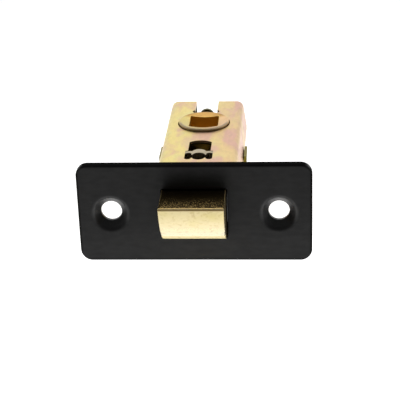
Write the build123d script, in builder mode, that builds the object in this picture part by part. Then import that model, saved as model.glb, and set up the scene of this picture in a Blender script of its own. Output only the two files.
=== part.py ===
"""Sprung tubular mortice latch, bolt-through pattern.

A brass bevelled bolt slides in a pressed two-half steel case behind a two-plate forend. A follower
with a square hole turns in the case, and its arms draw the bolt back by two side bars.

Frame: X along the forend's length, Y from the door's edge into the door, Z across the door's
thickness. The origin is at the middle of the outer forend plate's back rim.
"""
import math
import os

from build123d import *

# Forend: the outer pressed plate and the inner plate nested in it
forend_length = 60.0
forend_width = 26.8
forend_depth = 2.0
forend_sheet = 0.9
forend_corner_r = 3.0
forend_edge_r = 0.6
forend_nest_gap = 0.1
screw_end = 8.45
screw_hole_r = 2.7
dimple_mouth_r = 4.65
dimple_mouth_round = 1.6
dimple_reach = 0.9
dimple_wall = 0.8
dimple_gap = 0.15

# Bolt: its round bevel falls from the tip at the top to its foot at the bottom
bolt_width = 16.4
bolt_thickness = 13.2
bolt_projection = 11.7
bolt_tail_length = 6.6
bolt_edge_r = 0.35
bolt_gap = 0.3
bolt_case_gap = 0.35
bolt_window_corner_r = 0.6
bevel_foot_gap = 1.0
bevel_foot_angle = 22.0
spring_bore_r = 3.4
spring_bore_front_wall = 10.2

# Case: two pressed halves that meet on the plane Z = 0
case_behind = 18.1
case_side_room = 3.2
case_draft = 8.0
case_sheet = 1.0
case_corner_r = 2.0
case_end_r = 0.4
seam_r = 0.25
front_tab_low = 2.0
front_tab_high = 5.0
front_tab_short = 0.2
front_tab_gap = 0.1
side_tab_length = 7.6
side_tab_height = 1.6
side_tab_sheet = 0.7
side_tab_gap = 0.05
side_tab_places = (12.0, 36.2)
rear_slot_width = 6.5
rear_ear_r = 1.1
rear_ear_overlap = 0.5
rear_ear_behind = 9.3
tongue_width = 4.2
tongue_behind = 14.0
tongue_below = 0.8

# Follower: the hub that the spindle turns, on an axis one backset behind the forend's face
backset = 44.0
spindle_square = 8.1
spindle_corner_r = 0.4
hub_boss_r = 7.05
hub_boss_proud = 0.8
hub_boss_gap = 0.3
hub_boss_chamfer = 0.25
hub_rim = 0.6
hub_dish = 0.7
hub_dish_inset = 0.5
hub_flange_step = 1.05
hub_bar_gap = 0.4
flange_bar_gap = 0.3
washer_thickness = 0.5
washer_gap = 0.05
washer_bore_gap = 0.2
arm_angle = 39.0
arm_wall_gap = 0.39
arm_tip_r = 0.9
arm_root_r = 1.5
arm_root_angle = 68.0
arm_root_reach = 5.3
arm_half_thickness = 2.2

# Side bars: they carry the follower's push to the bolt
bar_wall_gap = 0.75
bar_thickness = 1.8
bar_half_height = 3.9
bar_seat_length = 5.2
bar_seat_gap = 0.1
bar_hook_length = 2.6
bar_window_half = 2.5
bar_window_front = 7.6
bar_end_r = 0.8
drive_gap = 0.3
rivet_r = 0.9
rivet_hole_gap = 0.05
rivet_depth = 2.2
rivet_head_r = 1.5
rivet_head_height = 0.5
rivet_spread = 4.0

# Bolt-through way and the spring abutment that stands in its front end
shoulder_ahead = 20.9
way_half_width = 3.05
way_length = 7.55
way_crown = 1.3
way_corner_r = 0.6
ear_half_width = 3.73
ear_inner = 1.95
ear_length = 6.0
lobe_r = 1.75
lobe_length = 6.2
neck_length = 4.9
head_length = 2.65
head_lobe_floor = 1.1
head_ear_floor = 1.2
head_arch = 1.4
abutment_gap = 0.04
abutment_below = 0.1
seat_length = 2.9
seat_step = 0.2
seat_spigot_length = 2.5

# Bolt spring
spring_wire_r = 0.4
spring_wire_sides = 8
spring_side_gap = 0.5
spring_end_turns = 1
spring_live_turns = 5
spring_end_pitch = 1.3
spring_seat_gap = 0.02

# Places worked out from the sizes above
forend_face = -forend_depth
screw_spacing = forend_length - 2 * screw_end
follower_y = forend_face + backset
bolt_tip = forend_face - bolt_projection
bore_end = bolt_tip + spring_bore_front_wall
case_length = follower_y + case_behind
case_inside = bolt_thickness / 2 + bolt_case_gap
case_half_depth = case_inside + case_sheet
case_half_width = bolt_width / 2 + case_side_room
hub_top = case_half_depth + hub_boss_proud
hub_flange_r = hub_boss_r + hub_flange_step
shoulder_y = follower_y - shoulder_ahead
seat_y = shoulder_y - seat_length
ear_r = (ear_half_width - ear_inner) / 2
ear_x = ear_inner + ear_r
spring_mean_r = spring_bore_r - spring_side_gap - spring_wire_r


def at_y(y):
    """A plane across the latch at depth y. Its sketch x is X and its sketch y is Z."""
    return Plane.XZ.offset(-y)


def wall_x(z):
    """Outer face of the case's drafted side wall at height z from the parting plane."""
    return case_half_width - abs(z) * math.tan(math.radians(case_draft))


def finish(piece, name):
    """Label a piece and write it."""
    piece.part.label = name
    export_step(piece.part, f"parts/{name}.step")


# Fits inside the case's walls
bar_outer = wall_x(bar_half_height) - case_sheet - bar_wall_gap - rivet_head_height
bar_inner = bar_outer - bar_thickness
hub_waist_r = bar_inner - hub_bar_gap
hub_waist_half = bar_half_height + flange_bar_gap
arm_reach = wall_x(arm_half_thickness) - case_sheet - arm_wall_gap - arm_tip_r
arm_tip_x = arm_reach * math.cos(math.radians(arm_angle))
arm_tip_y = follower_y - arm_reach * math.sin(math.radians(arm_angle))
drive_face = arm_tip_y + arm_tip_r + drive_gap

os.makedirs("parts", exist_ok=True)

# Outer forend plate: a shallow pressed tray with two screw dimples
window_x = bolt_width + 2 * bolt_gap
window_z = bolt_thickness + 2 * bolt_gap
with BuildPart() as faceplate:
    with BuildSketch(Plane.XZ):
        RectangleRounded(forend_length, forend_width, forend_corner_r)
    extrude(amount=forend_depth)
    fillet(faceplate.faces().sort_by(Axis.Y)[0].edges(), forend_edge_r)
    with BuildSketch(Plane.XZ):
        RectangleRounded(
            forend_length - 2 * forend_sheet,
            forend_width - 2 * forend_sheet,
            forend_corner_r - forend_sheet,
        )
    extrude(amount=forend_depth - forend_sheet, mode=Mode.SUBTRACT)
    for side in (-1, 1):
        screw_x = side * screw_spacing / 2
        screw_axis = Axis((screw_x, 0, 0), (0, 1, 0))
        with BuildSketch(at_y(forend_face + forend_sheet)):
            with Locations((screw_x, 0)):
                Circle(dimple_mouth_r)
        extrude(amount=forend_sheet, mode=Mode.SUBTRACT)
        with BuildSketch(Plane.XY):
            with BuildLine():
                Polyline(
                    (screw_x + screw_hole_r, dimple_reach),
                    (screw_x + screw_hole_r + dimple_wall, dimple_reach),
                    (screw_x + dimple_mouth_r + dimple_wall / 2, forend_face + forend_sheet),
                    (screw_x + dimple_mouth_r + dimple_wall / 2, forend_face),
                    (screw_x + dimple_mouth_r, forend_face),
                    (screw_x + screw_hole_r, 0),
                    close=True,
                )
            make_face()
        revolve(axis=screw_axis)
    dimple_rims = faceplate.edges().filter_by(lambda edge: edge.is_closed)
    fillet(dimple_rims.group_by(Axis.Y)[0], dimple_mouth_round)
    with BuildSketch(Plane.XZ):
        RectangleRounded(window_x, window_z, bolt_window_corner_r)
    extrude(amount=forend_depth, mode=Mode.SUBTRACT)
finish(faceplate, "faceplate")

# Inner forend plate: nests in the outer one and takes the case's front tabs
inner_depth = forend_depth - forend_sheet
inner_rim = forend_sheet + forend_nest_gap
with BuildPart() as inner_forend:
    with BuildSketch(Plane.XZ):
        RectangleRounded(
            forend_length - 2 * inner_rim,
            forend_width - 2 * inner_rim,
            forend_corner_r - inner_rim,
        )
        with GridLocations(screw_spacing, 0, 2, 1):
            Circle(dimple_mouth_r + dimple_wall / 2 + dimple_gap, mode=Mode.SUBTRACT)
        RectangleRounded(window_x, window_z, bolt_window_corner_r, mode=Mode.SUBTRACT)
        tab_in = wall_x(front_tab_high) - case_sheet - front_tab_gap
        tab_out = wall_x(front_tab_low) + front_tab_gap
        tab_slot_height = front_tab_high - front_tab_low + 2 * front_tab_gap
        with GridLocations(tab_in + tab_out, front_tab_low + front_tab_high, 2, 2):
            Rectangle(tab_out - tab_in, tab_slot_height, mode=Mode.SUBTRACT)
    extrude(amount=inner_depth)
finish(inner_forend, "inner_forend")

# Case pressing that both halves share: drafted, open to the forend and to the parting plane
tongue_y = follower_y + tongue_behind
with BuildPart() as case_shell:
    flat_half = wall_x(case_half_depth)
    with BuildSketch(Plane.XZ):
        with BuildLine():
            Polyline(
                (-case_half_width, 0),
                (-flat_half, case_half_depth),
                (flat_half, case_half_depth),
                (case_half_width, 0),
                close=True,
            )
        make_face()
    extrude(amount=-case_length)
    fillet(case_shell.edges().filter_by(Axis.Y).group_by(Axis.Z)[-1], case_corner_r)
    open_front = case_shell.faces().sort_by(Axis.Y)[0]
    open_seam = case_shell.faces().sort_by(Axis.Z)[0]
    offset(amount=-case_sheet, openings=[open_front, open_seam])
    fillet(case_shell.faces().sort_by(Axis.Y)[-1].edges().sort_by(Axis.Z)[1:], case_end_r)
    seam_edges = case_shell.edges().filter_by(Axis.Y).group_by(Axis.Z)[0].sort_by(Axis.X)
    fillet([seam_edges[0], seam_edges[-1]], seam_r)
    with BuildSketch(Plane.XY.offset(case_half_depth)):
        with Locations((0, follower_y)):
            Circle(hub_boss_r + hub_boss_gap)
    extrude(amount=-2 * case_sheet, mode=Mode.SUBTRACT)
    with BuildSketch(Plane.XY.offset(case_half_depth)):
        with Locations((0, (tongue_y + case_length) / 2)):
            Rectangle(rear_slot_width, case_length - tongue_y)
    extrude(amount=-case_half_depth, mode=Mode.SUBTRACT)
    way_end = shoulder_y + way_length
    lobe_y = shoulder_y - lobe_length + lobe_r
    ear_y = shoulder_y - ear_length + ear_r
    way_side_end = way_end - way_crown
    with BuildSketch(Plane.XY.offset(case_half_depth)) as way:
        with BuildLine():
            Polyline(
                (-way_half_width, way_side_end),
                (-way_half_width, shoulder_y),
                (way_half_width, shoulder_y),
                (way_half_width, way_side_end),
            )
            ThreePointArc((-way_half_width, way_side_end), (0, way_end), (way_half_width, way_side_end))
        make_face()
        fillet(way.vertices().group_by(Axis.Y)[-1], way_corner_r)
    extrude(amount=-2 * case_sheet, mode=Mode.SUBTRACT)
    with BuildSketch(Plane.XY.offset(case_half_depth)):
        with Locations((0, shoulder_y - neck_length / 2)):
            Rectangle(2 * ear_half_width, neck_length)
        with Locations((0, lobe_y)):
            Circle(lobe_r)
        with Locations((-ear_x, ear_y), (ear_x, ear_y)):
            Circle(ear_r)
    extrude(amount=-2 * case_sheet, mode=Mode.SUBTRACT)
    for side in (-1, 1):
        with BuildSketch(Plane.XZ):
            with BuildLine():
                Polyline(
                    (side * (wall_x(front_tab_low) - case_sheet), front_tab_low),
                    (side * wall_x(front_tab_low), front_tab_low),
                    (side * wall_x(front_tab_high), front_tab_high),
                    (side * (wall_x(front_tab_high) - case_sheet), front_tab_high),
                    close=True,
                )
            make_face()
        extrude(amount=inner_depth - front_tab_short)

# Upper case half: its rear slot runs on to the follower's hole, with an ear on each side
with BuildPart() as case_upper:
    add(case_shell.part)
    with BuildSketch(Plane.XY.offset(case_half_depth)):
        with Locations((0, (follower_y + tongue_y) / 2)):
            Rectangle(rear_slot_width, tongue_behind)
        with Locations((0, follower_y + rear_ear_behind)):
            with GridLocations(rear_slot_width - 2 * rear_ear_overlap, 0, 2, 1):
                Circle(rear_ear_r)
    extrude(amount=-2 * case_sheet, mode=Mode.SUBTRACT)
finish(case_upper, "case_upper")

# Lower case half: turned over, with a rear tongue turned up and side tabs folded past the seam
with BuildPart() as case_lower:
    add(mirror(case_shell.part, about=Plane.XY, mode=Mode.PRIVATE))
    tongue_top = case_half_depth - tongue_below
    with BuildSketch(at_y(tongue_y)):
        with Locations((0, (tongue_top - tongue_width / 2 - case_half_depth) / 2)):
            Rectangle(tongue_width, case_half_depth + tongue_top - tongue_width / 2)
        with Locations((0, tongue_top - tongue_width / 2)):
            Circle(tongue_width / 2)
    extrude(amount=case_sheet)
    tab_face = case_half_width + side_tab_gap
    for tab_y in side_tab_places:
        for side in (-1, 1):
            with BuildSketch(at_y(tab_y + side_tab_length / 2)):
                with BuildLine():
                    Polyline(
                        (side * (wall_x(side_tab_height) - case_sheet / 2), -side_tab_height),
                        (side * (tab_face + side_tab_sheet), -side_tab_height / 2),
                        (side * (tab_face + side_tab_sheet), side_tab_height),
                        (side * tab_face, side_tab_height),
                        (side * tab_face, 0),
                        (side * (case_half_width - case_sheet / 2), 0),
                        close=True,
                    )
                make_face()
            extrude(amount=side_tab_length)
finish(case_lower, "case_lower")

# Spring abutment: a post held by both halves, with a W-shaped head and a round spring seat
with BuildPart() as spring_abutment:
    head_front = shoulder_y - head_length
    head_lobe_y = shoulder_y - head_lobe_floor - lobe_r
    head_ear_y = shoulder_y - head_ear_floor - ear_r
    arch_r = (lobe_r**2 + head_arch**2) / (2 * head_arch)
    post_height = case_half_depth - abutment_below
    with BuildSketch(Plane.XY.offset(-post_height)):
        with Locations((0, (head_front + shoulder_y) / 2)):
            Rectangle(2 * (ear_half_width - abutment_gap), shoulder_y - head_front)
        with Locations((0, shoulder_y + head_arch - arch_r)):
            Circle(arch_r)
        with Locations((0, head_lobe_y)):
            Circle(lobe_r, mode=Mode.SUBTRACT)
        with Locations((0, head_lobe_y - lobe_r)):
            Rectangle(2 * lobe_r, 2 * lobe_r, mode=Mode.SUBTRACT)
        with Locations((-ear_x, head_ear_y), (ear_x, head_ear_y)):
            Circle(ear_r, mode=Mode.SUBTRACT)
        with Locations((-ear_x, head_ear_y - ear_r), (ear_x, head_ear_y - ear_r)):
            Rectangle(2 * ear_r, 2 * ear_r, mode=Mode.SUBTRACT)
    extrude(amount=2 * post_height)
    with BuildSketch(at_y(shoulder_y)):
        Circle(spring_bore_r - seat_step)
    extrude(amount=shoulder_y - seat_y)
    with BuildSketch(at_y(seat_y)):
        Circle(spring_mean_r - spring_wire_r - spring_side_gap)
    extrude(amount=seat_spigot_length)
finish(spring_abutment, "spring_abutment")

# Follower: a dished hub with a square through it and two arms that point towards the forend
hub_flange_top = case_inside - washer_thickness - 2 * washer_gap
with BuildPart() as follower:
    with BuildSketch(at_y(follower_y)):
        with BuildLine():
            Polyline(
                (0, 0),
                (hub_waist_r, 0),
                (hub_waist_r, hub_waist_half),
                (hub_flange_r, hub_waist_half),
                (hub_flange_r, hub_flange_top),
                (hub_boss_r, hub_flange_top),
                (hub_boss_r, hub_top - hub_boss_chamfer),
                (hub_boss_r - hub_boss_chamfer, hub_top),
                (hub_boss_r - hub_rim, hub_top),
                (spindle_square / 2 - hub_dish_inset, hub_top - hub_dish),
                (0, hub_top - hub_dish),
                close=True,
            )
        make_face()
        mirror(about=Plane.XZ)
    revolve(axis=Axis((0, follower_y, 0), (0, 0, 1)))
    arm_root_x = arm_root_reach * math.cos(math.radians(arm_root_angle))
    arm_root_y = follower_y - arm_root_reach * math.sin(math.radians(arm_root_angle))
    for side in (-1, 1):
        with BuildSketch(Plane.XY.offset(-arm_half_thickness)):
            with Locations((side * arm_root_x, arm_root_y)):
                Circle(arm_root_r)
            with Locations((side * arm_tip_x, arm_tip_y)):
                Circle(arm_tip_r)
            make_hull()
        extrude(amount=2 * arm_half_thickness)
    with BuildSketch(Plane.XY.offset(-hub_top)):
        with Locations((0, follower_y)):
            RectangleRounded(spindle_square, spindle_square, spindle_corner_r)
    extrude(amount=2 * hub_top, mode=Mode.SUBTRACT)
finish(follower, "follower")

# Follower washers: one between each flange and its case half
for name, washer_base in (
    ("follower_washer_upper", case_inside - washer_gap - washer_thickness),
    ("follower_washer_lower", washer_gap - case_inside),
):
    with BuildPart() as washer:
        with BuildSketch(Plane.XY.offset(washer_base)):
            with Locations((0, follower_y)):
                Circle(hub_flange_r)
                Circle(hub_boss_r + washer_bore_gap, mode=Mode.SUBTRACT)
        extrude(amount=washer_thickness)
    finish(washer, name)

# Latch bolt: flat on top, bevelled below, bored from behind for its spring
half_z = bolt_thickness / 2
bevel_foot_y = forend_face - bevel_foot_gap
foot_angle = math.radians(bevel_foot_angle)
foot_way = (-math.cos(foot_angle), math.sin(foot_angle))
bar_seat_front = bolt_tail_length - bar_seat_length
with BuildPart() as latch_bolt:
    with BuildSketch(Plane.YZ.offset(-bolt_width / 2)):
        with BuildLine():
            Line((bolt_tail_length, half_z), (bolt_tip, half_z))
            Line((bolt_tail_length, half_z), (bolt_tail_length, -half_z))
            Line((bolt_tail_length, -half_z), (bevel_foot_y, -half_z))
            TangentArc((bevel_foot_y, -half_z), (bolt_tip, half_z), tangent=foot_way)
        make_face()
    extrude(amount=bolt_width)
    tail_edges = latch_bolt.faces().sort_by(Axis.Y)[-1].edges()
    side_edges = latch_bolt.faces().filter_by(Axis.X).edges()
    tip_edge = latch_bolt.edges().filter_by(Axis.X).sort_by(Axis.Y)[:1]
    fillet([e for e in side_edges + tip_edge if e not in tail_edges], bolt_edge_r)
    with BuildSketch(at_y(bolt_tail_length)):
        Circle(spring_bore_r)
    extrude(amount=bolt_tail_length - bore_end, mode=Mode.SUBTRACT)
    with BuildSketch(at_y(bolt_tail_length)):
        with GridLocations(bar_inner - bar_seat_gap + bolt_width / 2, 0, 2, 1):
            Rectangle(
                bolt_width / 2 - bar_inner + bar_seat_gap,
                2 * (bar_half_height + bar_seat_gap),
            )
    extrude(amount=bar_seat_length + bar_seat_gap, mode=Mode.SUBTRACT)
    rivet_y = bolt_tail_length - bar_seat_length / 2
    for side in (-1, 1):
        with BuildSketch(Plane.YZ.offset(side * (bar_inner - rivet_depth - rivet_hole_gap))):
            with Locations((rivet_y, -rivet_spread / 2), (rivet_y, rivet_spread / 2)):
                Circle(rivet_r + rivet_hole_gap)
        extrude(amount=side * bolt_width, mode=Mode.SUBTRACT)
finish(latch_bolt, "latch_bolt")

# Side bars: each has a window for a follower arm, and the arm pushes on the window's rear edge
for name, side in (("tail_bar_left", -1), ("tail_bar_right", 1)):
    with BuildPart() as bar:
        bar_end = drive_face + bar_hook_length
        with BuildSketch(Plane.YZ.offset(side * bar_inner)):
            with Locations(((bar_seat_front + bar_end) / 2, 0)):
                Rectangle(bar_end - bar_seat_front, 2 * bar_half_height)
            with Locations((drive_face - bar_window_front / 2, 0)):
                Rectangle(bar_window_front, 2 * bar_window_half, mode=Mode.SUBTRACT)
            with Locations((rivet_y, -rivet_spread / 2), (rivet_y, rivet_spread / 2)):
                Circle(rivet_r + rivet_hole_gap, mode=Mode.SUBTRACT)
        extrude(amount=side * bar_thickness)
        bar_ends = bar.edges().filter_by(Axis.X).group_by(Axis.Y)[-1]
        fillet(bar_ends, bar_end_r)
    finish(bar, name)

# Rivets that hold the bars to the bolt
with BuildPart() as tail_rivets:
    for side in (-1, 1):
        places = [(rivet_y, -rivet_spread / 2), (rivet_y, rivet_spread / 2)]
        with BuildSketch(Plane.YZ.offset(side * (bar_inner - rivet_depth))):
            with Locations(*places):
                Circle(rivet_r)
        extrude(amount=side * (rivet_depth + bar_thickness))
        with BuildSketch(Plane.YZ.offset(side * bar_outer)):
            with Locations(*places):
                Circle(rivet_head_r)
        extrude(amount=side * rivet_head_height)
finish(tail_rivets, "tail_rivets")

# Bolt spring: closed end turns and open live turns, along the bolt's axis
spring_front = bore_end + spring_wire_r + spring_seat_gap
spring_rear = seat_y - spring_wire_r - spring_seat_gap
spring_turns = 2 * spring_end_turns + spring_live_turns
live_length = spring_rear - spring_front - 2 * spring_end_turns * spring_end_pitch
live_pitch = live_length / spring_live_turns


def spring_point(turn):
    """Centre of the wire after a number of turns from the front end."""
    closed = min(turn, spring_end_turns) + max(turn - spring_turns + spring_end_turns, 0)
    live = min(max(turn - spring_end_turns, 0), spring_live_turns)
    angle = 2 * math.pi * turn
    rise = closed * spring_end_pitch + live * live_pitch
    x = spring_mean_r * math.cos(angle)
    return Vector(x, spring_front + rise, spring_mean_r * math.sin(angle))


def spring_heading(turn, step=0.125):
    """Direction of the wire there, eased across a change of pitch."""
    ahead = spring_point(turn + step).Y
    behind = spring_point(turn - step).Y
    if turn < step or turn > spring_turns - step:
        ahead = behind + 2 * step * spring_end_pitch
    angle = 2 * math.pi * turn
    around = 2 * math.pi * spring_mean_r
    climb = (ahead - behind) / (2 * step)
    return Vector(-around * math.sin(angle), climb, around * math.cos(angle)).normalized()


def biarc_middle(start, start_way, end, end_way):
    """Where two arcs meet that leave start and reach end in the given directions."""
    gap = end - start
    turn_sum = gap.dot(start_way + end_way)
    bend = 2 * (1 - start_way.dot(end_way))
    reach = (math.sqrt(turn_sum**2 + bend * gap.dot(gap)) - turn_sum) / bend
    first = start + start_way * reach
    last = end - end_way * reach
    return (first + last) * 0.5, (last - first).normalized()


with BuildPart() as bolt_spring:
    with BuildLine() as coil:
        for quarter in range(4 * spring_turns):
            start = spring_point(quarter / 4)
            end = spring_point((quarter + 1) / 4)
            start_way = spring_heading(quarter / 4)
            end_way = spring_heading((quarter + 1) / 4)
            middle, middle_way = biarc_middle(start, start_way, end, end_way)
            TangentArc(start, middle, tangent=start_way)
            TangentArc(middle, end, tangent=middle_way)
    with BuildSketch(Plane(origin=spring_point(0), z_dir=spring_heading(0))):
        RegularPolygon(spring_wire_r, spring_wire_sides)
    sweep(path=coil.line)
finish(bolt_spring, "bolt_spring")

wire_points = [spring_point(step / 24) for step in range(24 * spring_turns + 1)]
least_gap = min(
    (wire_points[i] - wire_points[j]).length - 2 * spring_wire_r
    for i in range(len(wire_points))
    for j in range(i + 12, len(wire_points))
)
print(f"least gap between the spring's turns {least_gap:.2f} mm")
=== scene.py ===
"""Looks for a sprung tubular mortice latch.

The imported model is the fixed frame. This file gives each of its pieces a finish, draws the wound bolt
spring and the tail bars' rivets more finely than the frame does, and sets a plain pale stage round them.
"""

import math

import bmesh
import bpy
from bpy.props import FloatProperty, FloatVectorProperty, IntProperty, PointerProperty
from bpy.types import Operator, Panel, PropertyGroup
from mathutils import Matrix, Vector


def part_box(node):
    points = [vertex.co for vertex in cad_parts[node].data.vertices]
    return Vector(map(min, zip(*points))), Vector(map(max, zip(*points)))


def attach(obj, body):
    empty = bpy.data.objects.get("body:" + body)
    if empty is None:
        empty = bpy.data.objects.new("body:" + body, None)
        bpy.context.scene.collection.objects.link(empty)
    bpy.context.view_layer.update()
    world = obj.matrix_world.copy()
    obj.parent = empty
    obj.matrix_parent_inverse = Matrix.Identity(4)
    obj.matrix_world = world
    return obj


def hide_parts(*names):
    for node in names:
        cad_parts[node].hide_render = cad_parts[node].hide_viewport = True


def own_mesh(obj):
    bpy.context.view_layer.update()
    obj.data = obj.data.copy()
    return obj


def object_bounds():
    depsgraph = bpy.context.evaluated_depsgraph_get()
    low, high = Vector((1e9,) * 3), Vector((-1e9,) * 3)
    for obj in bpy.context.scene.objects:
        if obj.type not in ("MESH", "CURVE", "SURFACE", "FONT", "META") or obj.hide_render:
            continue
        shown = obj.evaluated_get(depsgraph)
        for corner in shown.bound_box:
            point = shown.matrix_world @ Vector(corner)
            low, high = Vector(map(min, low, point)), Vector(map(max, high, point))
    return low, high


bl_info = {
    "name": "Tubular Mortice Latch",
    "version": (1, 0, 0),
    "blender": (4, 5, 0),
    "location": "3D View > Sidebar > Latch",
    "description": "Finishes, a wound spring, rivets and a pale stage for a sprung mortice latch",
    "category": "Object",
}

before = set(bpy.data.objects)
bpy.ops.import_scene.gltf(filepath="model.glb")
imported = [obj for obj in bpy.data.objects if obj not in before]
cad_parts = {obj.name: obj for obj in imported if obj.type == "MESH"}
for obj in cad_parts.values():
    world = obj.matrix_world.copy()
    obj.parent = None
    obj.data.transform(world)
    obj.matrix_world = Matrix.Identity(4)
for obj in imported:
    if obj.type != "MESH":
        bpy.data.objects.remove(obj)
cad_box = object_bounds()

MM = 0.001

# Places that the frame gives
PLATE_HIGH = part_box("faceplate")[1]
CASE_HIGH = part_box("case_upper")[1]
BOLT_LOW, BOLT_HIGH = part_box("latch_bolt")
HUB_LOW, HUB_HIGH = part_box("follower")
SPRING_LOW, SPRING_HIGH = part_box("bolt_spring")
RIVETS_LOW, RIVETS_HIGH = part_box("tail_rivets")

# Sizes of the solids that no box gives; the skin is the depth past which a face counts as the case's inside
DIMPLE_FROM_END = 8.45 * MM
DIMPLE_MOUTH = 4.65 * MM
CASE_LEAN = math.tan(math.radians(8.0))
CASE_SKIN = 0.6 * MM
SPINDLE_HALF = 4.05 * MM

# Facets of the pieces that this file draws
SPRING_STEPS_PER_TURN = 40.0
RIVET_SIDES = 32
RIVET_DOME_STEPS = 6
SHARP_EDGE = math.radians(35.0)

# The floor's glow: brightest in an oval by the forend, drawn out across it, and dimmest far away
GLOW_AHEAD = 4.0 * MM
GLOW_ACROSS_SHARE = 0.4
GLOW_CORE, GLOW_EDGE = 6.0 * MM, 27.0 * MM
FLOOR_FADE_START, FLOOR_FADE_END = 80.0 * MM, 250.0 * MM
FAR_FLOOR_SHARE = 0.4

# The room's light: dimmest where a direction's Y is below the first value, brightest above the second
ROOM_DIM_Y, ROOM_BRIGHT_Y = -0.45, 0.25

# The soft light overhead, in metres
LAMP_WIDTH, LAMP_DEPTH = 0.8, 0.6
LAMP_PLACE = (0.0, 0.25, 0.6)
LAMP_TILT = math.radians(-15.0)

# The camera at the photograph's angle
CAMERA_PLACE = (26.0 * MM, -313.57 * MM, 143.28 * MM)
CAMERA_RIGHT = Vector((0.9974, 0.0639, -0.0322))
CAMERA_UP = Vector((0.0033, 0.40884, 0.91265))
CAMERA_BACK = Vector((0.0715, -0.91035, 0.40754))
CAMERA_SENSOR_MM = 36.0
CAMERA_CLIP_START = 0.01


def colour(name, description, default):
    """A colour that a user can change."""
    return FloatVectorProperty(
        name=name, description=description, subtype="COLOR", size=3, min=0.0, max=1.0, default=default
    )


def length(name, description, default):
    """A length in metres that a user can change."""
    return FloatProperty(
        name=name, description=description, subtype="DISTANCE", unit="LENGTH", precision=5, default=default
    )


def number(name, description, default, lowest=0.0):
    """A plain number that a user can change."""
    return FloatProperty(name=name, description=description, default=default, min=lowest)


class LatchFinishes(PropertyGroup):
    """Colours of the latch's finishes."""

    coat: colour("Black coat", "Baked black coat of the outer forend", (0.0062, 0.0061, 0.0061))
    brass: colour("Brass", "Clean brass of the bolt", (0.62, 0.53, 0.30))
    # Painted reflection: the bevel's paler tone towards its foot.
    brass_pale_reflection: colour("Rubbed brass", "Paler brass towards the foot of the bevel", (0.57, 0.51, 0.36))
    # Real tarnish spots, and also the painted shade and painted dark reflection on the bolt.
    brass_stain_and_shade: colour("Brass stain", "Tarnish on the bolt", (0.30, 0.19, 0.06))
    # Painted glints: brass-toned specks in the painted dark reflection on the bolt's top.
    brass_glint: colour("Brass glint", "Rubbed specks in the bolt's cast skin", (0.46, 0.31, 0.10))
    passivate_yellow: colour("Yellow passivate", "Main tone of the case's plating", (0.80, 0.65, 0.23))
    passivate_tan: colour("Tan passivate", "Tone towards the case's right side", (0.72, 0.48, 0.25))
    passivate_pink: colour("Pink bloom", "Pink bloom in the case's plating", (0.66, 0.38, 0.31))
    passivate_green: colour("Green bloom", "Yellow-green bloom in the case's plating", (0.70, 0.67, 0.29))
    # Painted shade on the case's folded tabs, and darker on its inside.
    passivate_olive_shade: colour("Olive tabs", "Thick plating on the case's folded tabs", (0.20, 0.17, 0.03))
    passivate_dust: colour("Dust", "Dull cloud in the case's plating", (0.35, 0.33, 0.25))
    hub: colour("Follower", "Gilt plating of the follower", (0.42, 0.24, 0.07))
    # Painted highlight: the grey crescent on the follower's rim towards the forend.
    hub_rim_highlight: colour("Follower rub", "Bare metal where the follower's face is rubbed", (0.34, 0.26, 0.17))
    hub_brown: colour("Follower shade", "Brown film in the follower's square hole", (0.72, 0.46, 0.09))
    zinc: colour("Zinc", "Bright zinc of the inner forend and tail bars", (0.42, 0.43, 0.44))
    abutment: colour("Abutment", "Plated steel of the spring abutment", (0.46, 0.39, 0.26))
    spring: colour("Spring wire", "Drawn steel of the bolt spring", (0.42, 0.41, 0.40))
    rivet: colour("Rivets", "Bright steel of the tail rivets", (0.58, 0.57, 0.55))
    nylon: colour("Nylon", "Natural nylon of the follower's washers", (0.78, 0.74, 0.64))


class LatchSizes(PropertyGroup):
    """Sizes of the pieces that this file draws."""

    wire: length("Spring wire radius", "Radius of the bolt spring's wire", 0.40 * MM)
    turns: number("Spring turns", "All turns of the bolt spring", 7.0, lowest=3.0)
    closed_turns: number("Closed turns", "Turns that lie close together at each end", 1.0, lowest=0.25)
    closed_pitch: length("Closed pitch", "Rise of one closed turn", 1.3 * MM)
    wire_sides: IntProperty(
        name="Wire sides", description="Facets round the spring's wire", default=16, min=6
    )
    rivet_head: length("Rivet head radius", "Radius of a tail rivet's domed head", 1.5 * MM)
    rivet_rise: length("Rivet head height", "Height of a tail rivet's domed head", 0.5 * MM)
    rivet_shank: length("Rivet shank radius", "Radius of a tail rivet's shank", 0.9 * MM)
    rivet_length: length("Rivet shank length", "Shank of a tail rivet below its head", 4.0 * MM)


class LatchStage(PropertyGroup):
    """Floor, lights and camera."""

    floor: colour("Floor", "Pale floor under the latch", (0.82, 0.82, 0.82))
    floor_glow: number("Floor glow", "Light through the floor", 0.55)
    floor_hot: number("Hot spot", "Light through the floor by the forend", 1.45)
    floor_reach: length("Floor reach", "Distance from the latch to the floor's edge", 4.0)
    back: number("Back light", "Brightness of the white room behind", 1.0)
    front: number("Front light", "Brightness of the room by the camera", 0.10)
    key: FloatProperty(
        name="Overhead light", description="Power of the soft light", subtype="POWER", default=2.0, min=0.0
    )
    lens: FloatProperty(
        name="Lens", description="Focal length of the camera", unit="CAMERA", default=121.3, min=1.0
    )


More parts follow.
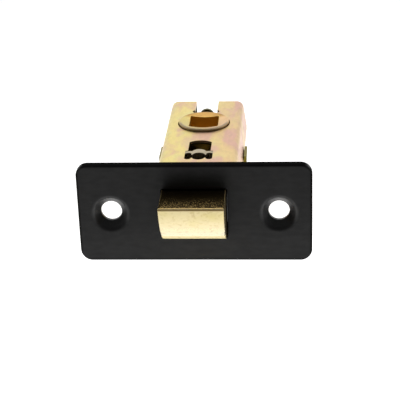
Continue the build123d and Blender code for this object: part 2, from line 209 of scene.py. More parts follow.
class NodeBench:
    """Short calls that add and join the nodes of one tree."""

    def __init__(self, tree):
        self.tree = tree

    def node(self, kind, inputs=None, **settings):
        """A new node, with its settings, and with each named input joined or given its value."""
        node = self.tree.nodes.new(kind)
        for name, value in settings.items():
            setattr(node, name, value)
        for socket, value in (inputs or {}).items():
            self.feed(node.inputs[socket], value)
        return node

    def feed(self, socket, value):
        """Joins a socket to another node's output, or gives it a plain value."""
        if isinstance(value, bpy.types.NodeSocket):
            self.tree.links.new(value, socket)
        else:
            socket.default_value = value

    def maths(self, operation, first, second=0.0, clamp=False):
        """The result of one operation on two numbers."""
        node = self.node("ShaderNodeMath", {0: first, 1: second}, operation=operation, use_clamp=clamp)
        return node.outputs[0]

    def times(self, first, *others):
        """The product of some numbers."""
        for other in others:
            first = self.maths("MULTIPLY", first, other)
        return first

    def total(self, first, *others):
        """The sum of some numbers."""
        for other in others:
            first = self.maths("ADD", first, other)
        return first

    def most(self, first, *others):
        """The greatest of some numbers."""
        for other in others:
            first = self.maths("MAXIMUM", first, other)
        return first

    def remap(self, value, low, high, new_low=0.0, new_high=1.0, smooth=False):
        """A number moved from one range to another, and kept inside it."""
        kind = "SMOOTHSTEP" if smooth else "LINEAR"
        sockets = {"Value": value, "From Min": low, "From Max": high, "To Min": new_low, "To Max": new_high}
        return self.node("ShaderNodeMapRange", sockets, interpolation_type=kind).outputs["Result"]

    def mixed(self, amount, first, second):
        """One colour laid over another by a mask."""
        sockets = {0: amount, 6: first, 7: second}
        return self.node("ShaderNodeMix", sockets, data_type="RGBA").outputs[2]

    def spot(self):
        """X, Y and Z of a point on a piece, in the frame."""
        place = self.node("ShaderNodeTexCoord").outputs["Object"]
        return list(self.node("ShaderNodeSeparateXYZ", {"Vector": place}).outputs)

    def distance(self, **sides):
        """How far apart two places are, from the X, Y or Z between them."""
        between = self.node("ShaderNodeCombineXYZ", sides).outputs["Vector"]
        return self.node("ShaderNodeVectorMath", {0: between}, operation="LENGTH").outputs["Value"]

    def group(self, tree, inputs):
        """A shared effect, placed here with its own values."""
        return self.node("ShaderNodeGroup", inputs, node_tree=tree)


def opaque(rgb):
    """A colour with full alpha."""
    return (*rgb, 1.0)


def shader_group(name, inputs, outputs):
    """An empty shader group with named sockets, its bench, and its input and output nodes."""
    tree = bpy.data.node_groups.new(name, "ShaderNodeTree")
    for label, kind, default in inputs:
        socket = tree.interface.new_socket(name=label, in_out="INPUT", socket_type=kind)
        socket.default_value = default
    for label, kind in outputs:
        tree.interface.new_socket(name=label, in_out="OUTPUT", socket_type=kind)
    bench = NodeBench(tree)
    return tree, bench, bench.node("NodeGroupInput"), bench.node("NodeGroupOutput")


def stretched_noise(bench, given, **inputs):
    """Noise on a piece's own coordinates, at a group's scale and stretch."""
    place = bench.node("ShaderNodeTexCoord").outputs["Object"]
    stretched = bench.node("ShaderNodeMapping", {"Vector": place, "Scale": given.outputs["Stretch"]})
    sockets = {"Vector": stretched.outputs["Vector"], "Scale": given.outputs["Per metre"], **inputs}
    return bench.node("ShaderNodeTexNoise", sockets).outputs["Fac"]


def surface_grain():
    """Fine grain of a coat or a metal skin; a stretched grain makes drawn or rolled lines."""
    if "Surface grain" in bpy.data.node_groups:
        return bpy.data.node_groups["Surface grain"]
    inputs = [
        ("Per metre", "NodeSocketFloat", 8000.0),
        ("Stretch", "NodeSocketVector", (1.0, 1.0, 1.0)),
        ("Detail", "NodeSocketFloat", 3.0),
    ]
    outputs = [("Height", "NodeSocketFloat"), ("Speckle", "NodeSocketFloat")]
    tree, bench, given, result = shader_group("Surface grain", inputs, outputs)
    height = stretched_noise(bench, given, Detail=given.outputs["Detail"])
    bench.feed(result.inputs["Height"], height)
    bench.feed(result.inputs["Speckle"], bench.remap(height, 0.52, 0.66))
    return tree


def film_patches():
    """Cloudy patches with soft edges: stains on brass, bloom in plating, streaks in the coat's gloss."""
    if "Film patches" in bpy.data.node_groups:
        return bpy.data.node_groups["Film patches"]
    inputs = [
        ("Per metre", "NodeSocketFloat", 300.0),
        ("Stretch", "NodeSocketVector", (1.0, 1.0, 1.0)),
        ("Swirl", "NodeSocketFloat", 0.6),
        ("From", "NodeSocketFloat", 0.45),
        ("To", "NodeSocketFloat", 0.65),
    ]
    outputs = [("Mask", "NodeSocketFloat"), ("Cloud", "NodeSocketFloat")]
    tree, bench, given, result = shader_group("Film patches", inputs, outputs)
    cloud = stretched_noise(bench, given, Detail=4.0, Distortion=given.outputs["Swirl"])
    bench.feed(result.inputs["Cloud"], cloud)
    mask = bench.remap(cloud, given.outputs["From"], given.outputs["To"], smooth=True)
    bench.feed(result.inputs["Mask"], mask)
    return tree


def new_finish(name, constants):
    """A node material with one shader, whose constants are set on the shader's own sockets."""
    material = bpy.data.materials.new(name)
    material.use_nodes = True
    material.node_tree.nodes.clear()
    bench = NodeBench(material.node_tree)
    shader = bench.node("ShaderNodeBsdfPrincipled")
    bench.node("ShaderNodeOutputMaterial", {"Surface": shader.outputs["BSDF"]})
    for socket, value in constants.items():
        shader.inputs[socket].default_value = value
    return material, bench, shader


def roughen(bench, shader, height, depth, strength):
    """Bumps on a finish: how deep they are, in metres, and how strongly they show."""
    sockets = {"Height": height, "Distance": depth, "Strength": strength}
    bump = bench.node("ShaderNodeBump", sockets)
    bench.feed(shader.inputs["Normal"], bump.outputs["Normal"])


def black_coat():
    """Baked black coat of the forend: a faint streaky gloss, more of it in the dimples, and a dull rim."""
    tones = bpy.context.scene.latch_finishes
    constants = {"Specular IOR Level": 0.0, "Coat Roughness": 0.34, "Coat IOR": 1.42}
    material, bench, shader = new_finish("black_coat", constants)
    grain = bench.group(surface_grain(), {"Per metre": 7000.0, "Detail": 2.0})
    cloud = bench.group(film_patches(), {"Per metre": 90.0, "Swirl": 0.4, "From": 0.35, "To": 0.7})
    streaks = bench.group(film_patches(), {"Per metre": 900.0, "Stretch": (0.4, 1.0, 1.0), "Swirl": 0.3})
    base = Vector(tones.coat)
    tint = bench.mixed(cloud.outputs["Mask"], opaque(base), opaque(base * 1.3))
    bench.feed(shader.inputs["Base Color"], tint)
    bench.feed(shader.inputs["Roughness"], bench.remap(grain.outputs["Height"], 0.3, 0.7, 0.55, 0.7))
    x, _, z = bench.spot()
    wide = bench.maths("ABSOLUTE", x)
    tall = bench.maths("ABSOLUTE", z)
    off_end = bench.remap(wide, PLATE_HIGH.x - 0.8 * MM, PLATE_HIGH.x - 0.2 * MM, 1.0, 0.0)
    off_edge = bench.remap(tall, PLATE_HIGH.z - 0.8 * MM, PLATE_HIGH.z - 0.2 * MM, 1.0, 0.0)
    aside = bench.maths("SUBTRACT", wide, PLATE_HIGH.x - DIMPLE_FROM_END)
    from_screw = bench.distance(X=aside, Z=tall)
    gloss = bench.remap(from_screw, DIMPLE_MOUTH - 0.3 * MM, DIMPLE_MOUTH + 0.5 * MM, 1.0, 0.5)
    uneven = bench.remap(streaks.outputs["Cloud"], 0.3, 0.7, 0.86, 1.12)
    sheen = bench.times(off_end, off_edge, uneven)
    bench.feed(shader.inputs["Coat Weight"], bench.maths("MULTIPLY", sheen, gloss, clamp=True))
    roughen(bench, shader, grain.outputs["Height"], 0.02 * MM, 0.35)
    return material


def bolt_zones(bench):
    """Masks of the bolt's surfaces, each named for what it marks."""
    x, y, z = bench.spot()
    top, foot = BOLT_HIGH.z, BOLT_LOW.z
    side, tip = BOLT_HIGH.x, BOLT_LOW.y
    zones = {
        "top": bench.remap(z, top - 0.12 * MM, top - 0.04 * MM),
        "flank": bench.remap(bench.maths("ABSOLUTE", x), side - 0.25 * MM, side - 0.05 * MM),
        "near_tip": bench.remap(y, tip + 9.5 * MM, tip, smooth=True),
        # Painted reflection: the bevel pales downwards, and its foot is painted bright below.
        "pale": bench.remap(z, top - 2.0 * MM, foot + 3.0 * MM),
        "polished": bench.remap(z, foot + 8.0 * MM, foot + 4.5 * MM, smooth=True),
        # Painted highlight: the bevel's foot.
        "foot": bench.remap(z, foot + 4.2 * MM, foot + 2.8 * MM, smooth=True),
    }
    # Painted shade: a dark line just below the top edge of the tip.
    above_line = bench.remap(z, top - 0.72 * MM, top - 0.60 * MM)
    below_edge = bench.remap(z, top - 0.35 * MM, top - 0.25 * MM, 1.0, 0.0)
    zones["tip_line"] = bench.times(above_line, below_edge)
    # Painted shade: the flanks close to the forend are darkened, dulled and roughened.
    by_plate = bench.remap(y, tip + 4.5 * MM, tip + 7.5 * MM, smooth=True)
    zones["grime"] = bench.times(zones["flank"], by_plate)
    return zones


def tumbled_brass():
    """Brass of the bolt: its bevel painted paler to a bright foot, a painted shade line under the tip, a
    speckled top and flanks painted dark.
    """
    tones = bpy.context.scene.latch_finishes
    material, bench, shader = new_finish("tumbled_brass", {"Specular IOR Level": 0.1})
    spots = bench.group(film_patches(), {"Per metre": 900.0, "Swirl": 0.8, "From": 0.50, "To": 0.80})
    cloud = bench.group(film_patches(), {"Per metre": 160.0, "Swirl": 0.8, "From": 0.42, "To": 0.68})
    grain = bench.group(surface_grain(), {"Per metre": 6500.0, "Detail": 3.0})
    sand = bench.group(surface_grain(), {"Per metre": 4200.0, "Stretch": (1.0, 0.6, 1.0), "Detail": 0.5})
    zones = bolt_zones(bench)
    # Painted reflection: the top, and half as much the flanks, are stained dark to stand for the dark forend
    # mirrored in them.
    painted_dark_reflection = bench.most(bench.times(zones["flank"], 0.5), zones["top"])
    # Painted glints: brass-toned, rougher specks on the top, more of them towards the tip.
    sparkle = bench.times(sand.outputs["Speckle"], zones["near_tip"], zones["top"])
    brass = Vector(tones.brass)
    # Tarnish tone for real spots, also used for the painted shade and painted dark reflection.
    stain_and_shade = Vector(tones.brass_stain_and_shade)
    deep = brass * 0.94
    deep.z *= 0.84
    tint = bench.mixed(cloud.outputs["Mask"], opaque(brass), opaque(deep))
    # Painted reflection: paler towards the bevel's foot.
    tint = bench.mixed(zones["pale"], tint, opaque(tones.brass_pale_reflection))
    # Painted highlight: the foot brighter than clean brass.
    tint = bench.mixed(zones["foot"], tint, opaque(brass * 1.55))
    tint = bench.mixed(bench.times(spots.outputs["Mask"], 0.45), tint, opaque(stain_and_shade))
    # Painted shade line under the tip, painted dark reflection on the top and flanks, and painted shade on
    # the flanks by the forend.
    tint = bench.mixed(zones["tip_line"], tint, opaque(stain_and_shade * 0.6))
    tint = bench.mixed(bench.times(painted_dark_reflection, 0.8), tint, opaque(stain_and_shade))
    tint = bench.mixed(zones["grime"], tint, opaque(stain_and_shade * 0.06))
    bench.feed(shader.inputs["Base Color"], bench.mixed(sparkle, tint, opaque(tones.brass_glint)))
    # Less metallic where shade is painted by the forend and under the tip, and where the foot's highlight is
    # painted.
    dull = bench.most(zones["grime"], bench.times(zones["foot"], 0.95), bench.times(zones["tip_line"], 0.8))
    bench.feed(shader.inputs["Metallic"], bench.maths("SUBTRACT", 1.0, dull))
    satin = bench.remap(grain.outputs["Speckle"], 0.0, 1.0, 0.34, 0.42)
    rubbed = bench.times(zones["polished"], bench.maths("SUBTRACT", 1.0, zones["flank"]))
    rougher = bench.most(bench.times(sparkle, 0.2), bench.times(zones["grime"], 0.6))
    rough = bench.total(satin, rougher, bench.times(painted_dark_reflection, -0.18), bench.times(rubbed, -0.24))
    bench.feed(shader.inputs["Roughness"], rough)
    roughen(bench, shader, grain.outputs["Height"], 0.012 * MM, 0.25)
    return material


def case_inside(bench, wide, along, tall):
    """Mask of the case's inside, where shade is painted: what lies deeper than its skin."""
    fade = 0.2 * MM
    face = CASE_HIGH.z - CASE_SKIN
    end = CASE_HIGH.y - CASE_SKIN
    wall = bench.maths("SUBTRACT", CASE_HIGH.x - CASE_SKIN, bench.times(tall, CASE_LEAN))
    off_wall = bench.remap(bench.maths("SUBTRACT", wall, wide), 0.0, fade)
    off_face = bench.remap(tall, face, face - fade)
    off_end = bench.remap(along, end, end - fade)
    return bench.times(off_wall, off_face, off_end)


def yellow_passivate():
    """Iridescent yellow plating of the case: tan to one side, pink and green bloom, and painted olive shade
    on its tabs and inside.
    """
    tones = bpy.context.scene.latch_finishes
    material, bench, shader = new_finish("yellow_passivate", {"Metallic": 1.0})
    drawn = {"Stretch": (1.0, 0.45, 1.0)}
    pink = bench.group(film_patches(), {**drawn, "Per metre": 210.0, "Swirl": 0.5, "From": 0.42, "To": 0.66})
    green = bench.group(film_patches(), {**drawn, "Per metre": 170.0, "Swirl": 0.4, "From": 0.45, "To": 0.68})
    dust = bench.group(film_patches(), {**drawn, "Per metre": 800.0, "Swirl": 0.3, "From": 0.35, "To": 0.75})
    rolled = bench.group(surface_grain(), {"Per metre": 3500.0, "Stretch": (1.0, 0.06, 1.0), "Detail": 3.0})
    x, y, z = bench.spot()
    wide = bench.maths("ABSOLUTE", x)
    tall = bench.maths("ABSOLUTE", z)
    half = CASE_HIGH.x
    drift = bench.times(bench.maths("SUBTRACT", pink.outputs["Cloud"], 0.5), 1.6)
    to_right = bench.maths("ADD", bench.remap(x, -0.7 * half, 0.9 * half), drift, clamp=True)
    tint = bench.mixed(to_right, opaque(tones.passivate_yellow), opaque(tones.passivate_tan))
    amount = bench.times(green.outputs["Mask"], bench.remap(x, -half, half, 0.9, 0.2))
    tint = bench.mixed(amount, tint, opaque(tones.passivate_green))
    amount = bench.times(pink.outputs["Mask"], bench.remap(x, -half, half, 0.6, 0.85))
    tint = bench.mixed(amount, tint, opaque(tones.passivate_pink))
    tint = bench.mixed(bench.times(dust.outputs["Mask"], 0.2), tint, opaque(tones.passivate_dust))
    # Painted shade: the folded tabs are olive.
    tabs = bench.remap(wide, half, half + 0.1 * MM)
    tint = bench.mixed(tabs, tint, opaque(tones.passivate_olive_shade))
    # Painted shade on the case's inside.
    shade = opaque(Vector(tones.passivate_olive_shade) * 0.6)
    bench.feed(shader.inputs["Base Color"], bench.mixed(case_inside(bench, wide, y, tall), tint, shade))
    bench.feed(shader.inputs["Roughness"], bench.remap(dust.outputs["Cloud"], 0.3, 0.7, 0.28, 0.42))
    roughen(bench, shader, rolled.outputs["Height"], 0.012 * MM, 0.25)
    return material


def follower_gilt():
    """Gilt plated follower: brown film in its square hole, a painted highlight on the rim towards the forend,
    painted shade below.
    """
    tones = bpy.context.scene.latch_finishes
    material, bench, shader = new_finish("follower_gilt", {"Metallic": 1.0})
    film = bench.group(film_patches(), {"Per metre": 260.0, "Swirl": 1.0, "From": 0.46, "To": 0.72})
    grain = bench.group(surface_grain(), {"Per metre": 4200.0, "Detail": 4.0})
    x, y, z = bench.spot()
    behind = bench.maths("SUBTRACT", y, (HUB_LOW.y + HUB_HIGH.y) / 2.0)
    left_tone = opaque(Vector(tones.passivate_yellow) * 0.82)
    tint = bench.mixed(bench.remap(x, -5.0 * MM, 5.0 * MM), left_tone, opaque(tones.passivate_tan))
    rear = bench.remap(behind, 2.5 * MM, 4.5 * MM, smooth=True)
    tint = bench.mixed(rear, tint, opaque(tones.hub))
    # Painted highlight: a grey crescent on the rim, only towards the forend.
    rim = bench.remap(bench.distance(X=x, Y=behind), 6.1 * MM, 6.8 * MM, smooth=True)
    ahead = bench.remap(behind, 0.0, -2.5 * MM, smooth=True)
    tint = bench.mixed(bench.times(rim, ahead, 0.9), tint, opaque(tones.hub_rim_highlight))
    from_axis = bench.most(bench.maths("ABSOLUTE", x), bench.maths("ABSOLUTE", behind))
    hole = bench.remap(from_axis, SPINDLE_HALF + 0.05 * MM, SPINDLE_HALF + 0.15 * MM, 1.0, 0.0)
    filmed = bench.most(hole, bench.times(film.outputs["Mask"], 0.15))
    tint = bench.mixed(filmed, tint, opaque(tones.hub_brown))
    # Painted shade: what of the follower lies down in the case is darker.
    tall = bench.maths("ABSOLUTE", z)
    in_case = bench.remap(tall, CASE_HIGH.z - 1.2 * MM, CASE_HIGH.z - 0.8 * MM, 1.0, 0.0)
    buried = bench.times(in_case, bench.maths("SUBTRACT", 1.0, hole))
    shade = opaque(Vector(tones.hub_brown) * 0.65)
    bench.feed(shader.inputs["Base Color"], bench.mixed(buried, tint, shade))
    bench.feed(shader.inputs["Roughness"], bench.remap(grain.outputs["Height"], 0.3, 0.7, 0.28, 0.45))
    roughen(bench, shader, grain.outputs["Height"], 0.02 * MM, 0.3)
    return material


def zinc_plate(name, tone, rolled_along):
    """Bright plated steel with rolled lines along one way and dull clouds."""
    material, bench, shader = new_finish(name, {"Metallic": 1.0})
    dull = bench.group(film_patches(), {"Per metre": 240.0, "Swirl": 0.7, "From": 0.40, "To": 0.70})
    lines = bench.group(surface_grain(), {"Per metre": 5000.0, "Stretch": rolled_along, "Detail": 4.0})
    darker = Vector(tone) * 0.72
    tint = bench.mixed(bench.times(dull.outputs["Mask"], 0.7), opaque(tone), opaque(darker))
    bench.feed(shader.inputs["Base Color"], tint)
    bench.feed(shader.inputs["Roughness"], bench.remap(dull.outputs["Cloud"], 0.3, 0.7, 0.24, 0.46))
    roughen(bench, shader, lines.outputs["Height"], 0.012 * MM, 0.3)
    return material


def natural_nylon():
    """Moulded nylon with a faint cloud and a satin skin."""
    tones = bpy.context.scene.latch_finishes
    material, bench, shader = new_finish("natural_nylon", {"IOR": 1.53})
    cloud = bench.group(film_patches(), {"Per metre": 320.0, "Swirl": 0.5, "From": 0.35, "To": 0.70})
    grain = bench.group(surface_grain(), {"Per metre": 6000.0, "Detail": 2.0})
    warmer = Vector(tones.nylon)
    warmer.z *= 0.86
    tint = bench.mixed(cloud.outputs["Mask"], opaque(tones.nylon), opaque(warmer))
    bench.feed(shader.inputs["Base Color"], tint)
    bench.feed(shader.inputs["Roughness"], bench.remap(grain.outputs["Height"], 0.3, 0.7, 0.38, 0.52))
    roughen(bench, shader, grain.outputs["Height"], 0.01 * MM, 0.25)
    return material


def give_finish(material, *nodes):
    """Puts a finish on pieces of the frame."""
    for node in nodes:
        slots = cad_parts[node].data.materials
        slots.clear()
        slots.append(material)


def turned_mesh(name, profile, sides):
    """A closed mesh turned about X from (along, radius) points; it starts and ends on the axis."""
    mesh = bmesh.new()
    rings = []
    for along, radius in profile:
        if radius == 0.0:
            rings.append([mesh.verts.new((along, 0.0, 0.0))])
            continue
        turn = [2.0 * math.pi * side / sides for side in range(sides)]
        rings.append([mesh.verts.new((along, radius * math.cos(a), radius * math.sin(a))) for a in turn])
    for near, far in zip(rings, rings[1:]):
        for side in range(sides):
            following = (side + 1) % sides
            corners = [near[side % len(near)], near[following % len(near)]]
            corners += [far[following % len(far)], far[side % len(far)]]
            mesh.faces.new(list(dict.fromkeys(corners)))
    bmesh.ops.recalc_face_normals(mesh, faces=mesh.faces)
    for face in mesh.faces:
        face.smooth = True
    made = bpy.data.meshes.new(name)
    mesh.to_mesh(made)
    mesh.free()
    made.set_sharp_from_angle(angle=SHARP_EDGE)
    return made


def geometry_group(name, inputs):
    """An empty Geometry Nodes tree with named sizes, its bench, and its input and output nodes."""
    tree = bpy.data.node_groups.new(name, "GeometryNodeTree")
    tree.interface.new_socket(name="Geometry", in_out="INPUT", socket_type="NodeSocketGeometry")
    for label, kind in inputs:
        tree.interface.new_socket(name=label, in_out="INPUT", socket_type=kind)
    tree.interface.new_socket(name="Geometry", in_out="OUTPUT", socket_type="NodeSocketGeometry")
    bench = NodeBench(tree)
    return tree, bench, bench.node("NodeGroupInput"), bench.node("NodeGroupOutput")


def close_tree(bench, shape, material, result):
    """Ends a tree: instances made real, then the finish."""
    real = bench.node("GeometryNodeRealizeInstances", {"Geometry": shape})
    sockets = {"Geometry": real.outputs["Geometry"], "Material": material}
    dressed = bench.node("GeometryNodeSetMaterial", sockets)
    bench.feed(result.inputs["Geometry"], dressed.outputs["Geometry"])


def grown_piece(name, mesh, tree, sizes):
    """An object whose plain mesh is what a tree makes of another mesh."""
    piece = bpy.data.objects.new(name, mesh)
    bpy.context.scene.collection.objects.link(piece)
    modifier = piece.modifiers.new(tree.name, "NODES")
    modifier.node_group = tree
    for item in tree.interface.items_tree:
        if item.item_type == "SOCKET" and item.in_out == "INPUT" and item.name in sizes:
            modifier[item.identifier] = sizes[item.name]
    evaluated = piece.evaluated_get(bpy.context.evaluated_depsgraph_get())
    made = bpy.data.meshes.new_from_object(evaluated)
    if not made.polygons:
        raise RuntimeError(f"{name} has no faces")
    piece.modifiers.clear()
    piece.data = made
    return piece


def spring_tree(material):
    """A wire wound about Y, with closed turns at both ends and open turns between them."""
    floats = ["Turns", "Closed turns", "Closed pitch", "Coil radius", "Wire radius", "Front", "Rear"]
    inputs = [(label, "NodeSocketFloat") for label in floats] + [("Wire sides", "NodeSocketInt")]
    tree, bench, given, result = geometry_group("Wound spring", inputs)
    turns, closed, pitch, coil, wire, front, rear = [given.outputs[label] for label in floats]
    steps = bench.total(bench.times(turns, SPRING_STEPS_PER_TURN), 1.0)
    line = bench.node("GeometryNodeCurvePrimitiveLine")
    fine = bench.node("GeometryNodeResampleCurve", {"Curve": line.outputs["Curve"], "Count": steps})
    along = bench.times(bench.node("GeometryNodeSplineParameter").outputs["Factor"], turns)
    angle = bench.times(along, 2.0 * math.pi)
    both_ends = bench.times(closed, 2.0)
    opened = bench.maths("SUBTRACT", turns, both_ends)
    past_closed = bench.most(bench.maths("SUBTRACT", along, closed), 0.0)
    open_now = bench.maths("MINIMUM", past_closed, opened)
    closed_now = bench.maths("SUBTRACT", along, open_now)
    span = bench.maths("SUBTRACT", rear, front)
    open_span = bench.maths("SUBTRACT", span, bench.times(both_ends, pitch))
    open_pitch = bench.maths("DIVIDE", open_span, opened)
    rise = bench.total(bench.times(open_now, open_pitch), bench.times(closed_now, pitch))
    spot = {
        "X": bench.times(bench.maths("COSINE", angle), coil),
        "Y": bench.total(front, rise),
        "Z": bench.times(bench.maths("SINE", angle), coil),
    }
    place = bench.node("ShaderNodeCombineXYZ", spot).outputs["Vector"]
    path = bench.node("GeometryNodeSetPosition", {"Geometry": fine.outputs["Curve"], "Position": place})
    sockets = {"Resolution": given.outputs["Wire sides"], "Radius": wire}
    ring = bench.node("GeometryNodeCurvePrimitiveCircle", sockets)
    sockets = {"Curve": path.outputs["Geometry"], "Profile Curve": ring.outputs["Curve"], "Fill Caps": True}
    tube = bench.node("GeometryNodeCurveToMesh", sockets)
    sockets = {"Geometry": tube.outputs["Mesh"], "Shade Smooth": True}
    smooth = bench.node("GeometryNodeSetShadeSmooth", sockets)
    close_tree(bench, smooth.outputs["Geometry"], material, result)
    return tree


def rivet_tree(material):
    """One rivet set in two pairs, a pair on each side of the bolt."""
    inputs = [(label, "NodeSocketFloat") for label in ("Along", "Half spread")]
    tree, bench, given, result = geometry_group("Paired rivets", inputs)
    along, spread = given.outputs["Along"], given.outputs["Half spread"]
    start = bench.node("ShaderNodeCombineXYZ", {"Y": along, "Z": bench.times(spread, -1.0)})
    step = bench.node("ShaderNodeCombineXYZ", {"Z": bench.times(spread, 2.0)})
    sockets = {"Count": 2, "Start Location": start.outputs["Vector"], "Offset": step.outputs["Vector"]}
    pair = bench.node("GeometryNodeMeshLine", sockets).outputs["Mesh"]
    joined = bench.node("GeometryNodeJoinGeometry")
    for turn in (0.0, math.pi):
        sockets = {"Points": pair, "Instance": given.outputs["Geometry"], "Rotation": (0.0, 0.0, turn)}
        side = bench.node("GeometryNodeInstanceOnPoints", sockets)
        bench.feed(joined.inputs["Geometry"], side.outputs["Instances"])
    close_tree(bench, joined.outputs["Geometry"], material, result)
    return tree


class LATCH_OT_finish_forend(Operator):
    """Coat the outer forend black and plate the inner forend."""

    bl_idname = "latch.finish_forend"
    bl_label = "Finish forend plates"

    def execute(self, context):
        give_finish(black_coat(), "faceplate")
        tone = context.scene.latch_finishes.zinc
        give_finish(zinc_plate("zinc_forend", tone, (0.05, 1.0, 1.0)), "inner_forend")
        return {"FINISHED"}


class LATCH_OT_finish_bolt(Operator):
    """Give the bolt its tumbled brass."""

    bl_idname = "latch.finish_bolt"
    bl_label = "Finish bolt"

    def execute(self, context):
        give_finish(tumbled_brass(), "latch_bolt")
        return {"FINISHED"}


class LATCH_OT_finish_case(Operator):
    """Give both case halves their yellow passivate."""

    bl_idname = "latch.finish_case"
    bl_label = "Finish case halves"

    def execute(self, context):
        give_finish(yellow_passivate(), "case_upper", "case_lower")
        return {"FINISHED"}


class LATCH_OT_finish_follower(Operator):
    """Give the follower its gilt plating and its washers their nylon."""

    bl_idname = "latch.finish_follower"
    bl_label = "Finish follower"

    def execute(self, context):
        give_finish(follower_gilt(), "follower")
        give_finish(natural_nylon(), "follower_washer_upper", "follower_washer_lower")
        return {"FINISHED"}


class LATCH_OT_finish_tail(Operator):
    """Give the spring abutment and the tail bars their plated steel."""

    bl_idname = "latch.finish_tail"
    bl_label = "Finish abutment and tail bars"

    def execute(self, context):
        tones = context.scene.latch_finishes
        give_finish(zinc_plate("abutment_steel", tones.abutment, (1.0, 0.08, 1.0)), "spring_abutment")
        give_finish(zinc_plate("zinc_bar", tones.zinc, (1.0, 0.05, 1.0)), "tail_bar_left", "tail_bar_right")
        return {"FINISHED"}


class LATCH_OT_make_rivets(Operator):
    """Draw the four domed rivets that fix the tail bars to the bolt."""

    bl_idname = "latch.make_rivets"
    bl_label = "Make tail rivets"

    def execute(self, context):
        sizes = context.scene.latch_sizes
        under_head = RIVETS_HIGH.x - sizes.rivet_rise
        end = under_head - sizes.rivet_length
        profile = [(end, 0.0), (end, sizes.rivet_shank)]
        profile += [(under_head, sizes.rivet_shank), (under_head, sizes.rivet_head)]
        for step in range(1, RIVET_DOME_STEPS):
            lift = step / RIVET_DOME_STEPS * math.pi / 2.0
            rise = sizes.rivet_rise * math.sin(lift)
            profile.append((under_head + rise, sizes.rivet_head * math.cos(lift)))
        profile.append((RIVETS_HIGH.x, 0.0))
        steel = zinc_plate("rivet_steel", context.scene.latch_finishes.rivet, (0.3, 1.0, 1.0))
        places = {
            "Along": (RIVETS_LOW.y + RIVETS_HIGH.y) / 2.0,
            "Half spread": RIVETS_HIGH.z - sizes.rivet_head,
        }
        one_rivet = turned_mesh("one_rivet", profile, RIVET_SIDES)
        rivets = grown_piece("domed_tail_rivets", one_rivet, rivet_tree(steel), places)
        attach(rivets, "bolt")
        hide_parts("tail_rivets")
        return {"FINISHED"}


class LATCH_OT_make_spring(Operator):
    """Wind the bolt spring from round wire."""

    bl_idname = "latch.make_spring"
    bl_label = "Make bolt spring"

    def execute(self, context):
        sizes = context.scene.latch_sizes
        tone = context.scene.latch_finishes.spring
        wire_steel = zinc_plate("spring_wire", tone, (1.0, 1.0, 1.0))
        values = {
            "Turns": sizes.turns,
            "Closed turns": sizes.closed_turns,
            "Closed pitch": sizes.closed_pitch,
            "Coil radius": SPRING_HIGH.x - sizes.wire,
            "Wire radius": sizes.wire,
            "Front": SPRING_LOW.y + sizes.wire,
            "Rear": SPRING_HIGH.y - sizes.wire,
            "Wire sides": sizes.wire_sides,
        }
        blank = bpy.data.meshes.new("spring_blank")
        spring = grown_piece("wound_bolt_spring", blank, spring_tree(wire_steel), values)
        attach(spring, "case")
        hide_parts("bolt_spring")
        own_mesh(spring)
        return {"FINISHED"}


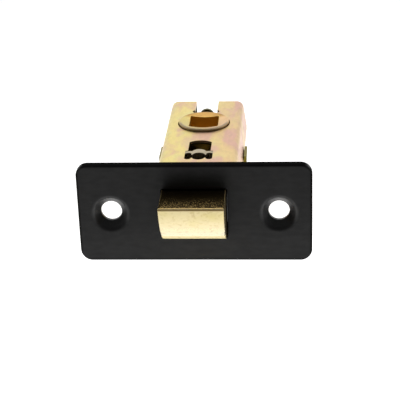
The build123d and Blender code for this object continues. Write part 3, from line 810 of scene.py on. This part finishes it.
class LATCH_OT_set_stage(Operator):
    """Set the pale floor, the soft light and the camera."""

    bl_idname = "latch.set_stage"
    bl_label = "Set stage"

    def execute(self, context):
        stage = context.scene.latch_stage
        self.lay_floor(context.scene, stage)
        self.light_room(context.scene, stage)
        self.place_camera(context.scene, stage)
        return {"FINISHED"}

    def lay_floor(self, scene, stage):
        """A pale sheet under the latch, lit from below, most of all in an oval by the forend."""
        reach = stage.floor_reach
        height = cad_box[0].z
        outline = ((-reach, -reach), (reach, -reach), (reach, reach), (-reach, reach))
        corners = [(x, y, height) for x, y in outline]
        mesh = bpy.data.meshes.new("floor")
        mesh.from_pydata(corners, [], [(0, 1, 2, 3)])
        mesh.materials.append(self.pale_floor(stage))
        floor = bpy.data.objects.new("floor", mesh)
        scene.collection.objects.link(floor)

    def pale_floor(self, stage):
        """The floor's finish: a faint cloud, and the light that comes through it."""
        constants = {"Specular IOR Level": 0.2, "Emission Strength": 1.0}
        material, bench, shader = new_finish("pale_floor", constants)
        cloud = bench.group(film_patches(), {"Per metre": 30.0, "Swirl": 0.2, "From": 0.3, "To": 0.7})
        darker = Vector(stage.floor) * 0.985
        tint = bench.mixed(cloud.outputs["Mask"], opaque(stage.floor), opaque(darker))
        bench.feed(shader.inputs["Base Color"], tint)
        bench.feed(shader.inputs["Roughness"], bench.remap(cloud.outputs["Cloud"], 0.3, 0.7, 0.7, 0.8))
        x, y, _ = bench.spot()
        away = bench.distance(X=bench.times(x, GLOW_ACROSS_SHARE), Y=bench.total(y, GLOW_AHEAD))
        near = bench.remap(away, GLOW_CORE, GLOW_EDGE, stage.floor_hot, stage.floor_glow, smooth=True)
        far = bench.remap(away, FLOOR_FADE_START, FLOOR_FADE_END, 1.0, FAR_FLOOR_SHARE, smooth=True)
        bench.feed(shader.inputs["Emission Color"], bench.times(near, far))
        return material

    def light_room(self, scene, stage):
        """A white room that is dimmer on the camera's side, and one soft light overhead."""
        room = bpy.data.worlds.new("white_room")
        room.use_nodes = True
        room.node_tree.nodes.clear()
        bench = NodeBench(room.node_tree)
        way = bench.node("ShaderNodeTexCoord").outputs["Generated"]
        ahead = bench.node("ShaderNodeSeparateXYZ", {"Vector": way}).outputs["Y"]
        strength = bench.remap(ahead, ROOM_DIM_Y, ROOM_BRIGHT_Y, stage.front, stage.back, smooth=True)
        back = bench.node("ShaderNodeBackground", {"Color": (1.0, 1.0, 1.0, 1.0), "Strength": strength})
        bench.node("ShaderNodeOutputWorld", {"Surface": back.outputs["Background"]})
        scene.world = room
        lamp = bpy.data.lights.new("overhead_light", "AREA")
        lamp.shape = "RECTANGLE"
        lamp.size = LAMP_WIDTH
        lamp.size_y = LAMP_DEPTH
        lamp.energy = stage.key
        light = bpy.data.objects.new("overhead_light", lamp)
        light.matrix_world = Matrix.Translation(LAMP_PLACE) @ Matrix.Rotation(LAMP_TILT, 4, "X")
        scene.collection.objects.link(light)

    def place_camera(self, scene, stage):
        """A camera in front of the forend, a little above it and to one side, looking down at the bolt."""
        lens = bpy.data.cameras.new("camera")
        lens.lens = stage.lens
        lens.sensor_width = CAMERA_SENSOR_MM
        lens.clip_start = CAMERA_CLIP_START
        camera = bpy.data.objects.new("camera", lens)
        turn = Matrix((CAMERA_RIGHT, CAMERA_UP, CAMERA_BACK)).transposed().to_4x4()
        camera.matrix_world = Matrix.Translation(CAMERA_PLACE) @ turn
        scene.collection.objects.link(camera)
        scene.camera = camera
        scene.view_settings.view_transform = "Standard"


class LATCH_PT_sidebar(Panel):
    """The latch's pieces and stage, in the 3D view's sidebar."""

    bl_idname = "LATCH_PT_sidebar"
    bl_label = "Mortice latch"
    bl_space_type = "VIEW_3D"
    bl_region_type = "UI"
    bl_category = "Latch"

    def draw(self, context):
        for operator in OPERATORS:
            self.layout.operator(operator.bl_idname)
        for holder in (context.scene.latch_finishes, context.scene.latch_sizes, context.scene.latch_stage):
            box = self.layout.box()
            for name in holder.__annotations__:
                box.prop(holder, name)


OPERATORS = (
    LATCH_OT_finish_forend,
    LATCH_OT_finish_bolt,
    LATCH_OT_finish_case,
    LATCH_OT_finish_follower,
    LATCH_OT_finish_tail,
    LATCH_OT_make_rivets,
    LATCH_OT_make_spring,
    LATCH_OT_set_stage,
)
CLASSES = (LatchFinishes, LatchSizes, LatchStage, *OPERATORS, LATCH_PT_sidebar)


def register():
    """Adds the classes and the scene's settings."""
    for each in CLASSES:
        bpy.utils.register_class(each)
    bpy.types.Scene.latch_finishes = PointerProperty(type=LatchFinishes)
    bpy.types.Scene.latch_sizes = PointerProperty(type=LatchSizes)
    bpy.types.Scene.latch_stage = PointerProperty(type=LatchStage)


def unregister():
    """Takes away what register added."""
    del bpy.types.Scene.latch_stage
    del bpy.types.Scene.latch_sizes
    del bpy.types.Scene.latch_finishes
    for each in reversed(CLASSES):
        bpy.utils.unregister_class(each)


def main():
    register()
    bpy.ops.latch.set_stage()
    bpy.ops.latch.finish_forend()
    bpy.ops.latch.finish_bolt()
    bpy.ops.latch.finish_case()
    bpy.ops.latch.finish_follower()
    bpy.ops.latch.finish_tail()
    bpy.ops.latch.make_rivets()
    bpy.ops.latch.make_spring()


if __name__ == "__main__":
    main()
